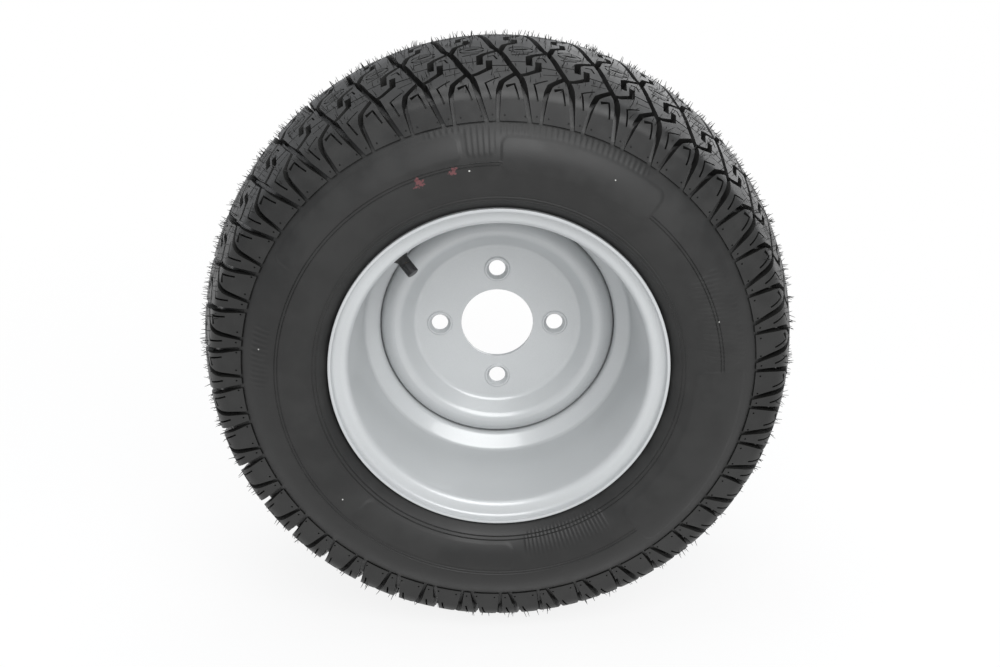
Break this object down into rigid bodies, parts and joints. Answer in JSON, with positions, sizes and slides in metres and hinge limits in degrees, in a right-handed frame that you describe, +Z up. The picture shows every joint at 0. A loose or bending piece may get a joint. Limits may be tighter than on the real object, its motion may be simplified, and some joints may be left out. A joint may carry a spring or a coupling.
{
  "type": "wheel",
  "caption": "Small utility wheel: wide turf tyre with slanted tread grooves on a silver steel drop-centre rim with a welded lug disc and a snap-in air valve.",
  "frame": {"origin": "centre of the wheel, on the axle line in the tyre's middle plane", "axes": "+Y along the axle from the outer side to the hub side, +Z up, the outer side with the valve faces -Y"},
  "size_m": [0.5034, 0.235, 0.5034],
  "materials": {
    "tyre": "matt moulded rubber",
    "wheel_paint": "silver grey satin paint",
    "valve_rubber": "smooth moulded rubber",
    "valve_metal": "turned",
    "spring_steel": "drawn wire",
    "cap_plastic": "moulded"
  },
  "bodies": {
    "wheel": {"tyre": "tyre", "rim_barrel": "wheel_paint", "wheel_disc": "wheel_paint", "disc_welds": "wheel_paint", "valve_stem": "valve_rubber", "valve_insert": "valve_metal", "valve_core_body": "valve_metal", "valve_core_spring": "spring_steel"},
    "cap_seal": {"valve_cap_seal": "valve_rubber"},
    "cap": {"valve_cap": "cap_plastic"},
    "core_pin": {"valve_core_pin": "valve_metal", "valve_core_seal": "valve_rubber"}
  },
  "joints": [
    {"name": "cap_lift", "type": "slide", "parent": "wheel", "child": "cap_seal", "axis": [0.6086, -0.4673, -0.6413], "range_m": [0, 0.00635]},
    {"name": "cap_turn", "type": "hinge", "parent": "cap_seal", "child": "cap", "pos_m": [-0.0729, -0.06331, 0.07682], "axis": [0.6086, -0.4673, -0.6413], "range_deg": [0, 2880]},
    {"name": "pin_press", "type": "slide", "parent": "wheel", "child": "core_pin", "axis": [-0.6086, 0.4673, 0.6413], "range_m": [0, 0.0012], "stiffness_N_per_m": 1500, "springref_m": -0.002, "deforming": ["valve_core_spring"]}
  ],
  "couplings": [
    {"joint": "cap_lift", "follows": "cap_turn", "m_per_rad": 0.00012633}
  ]
}
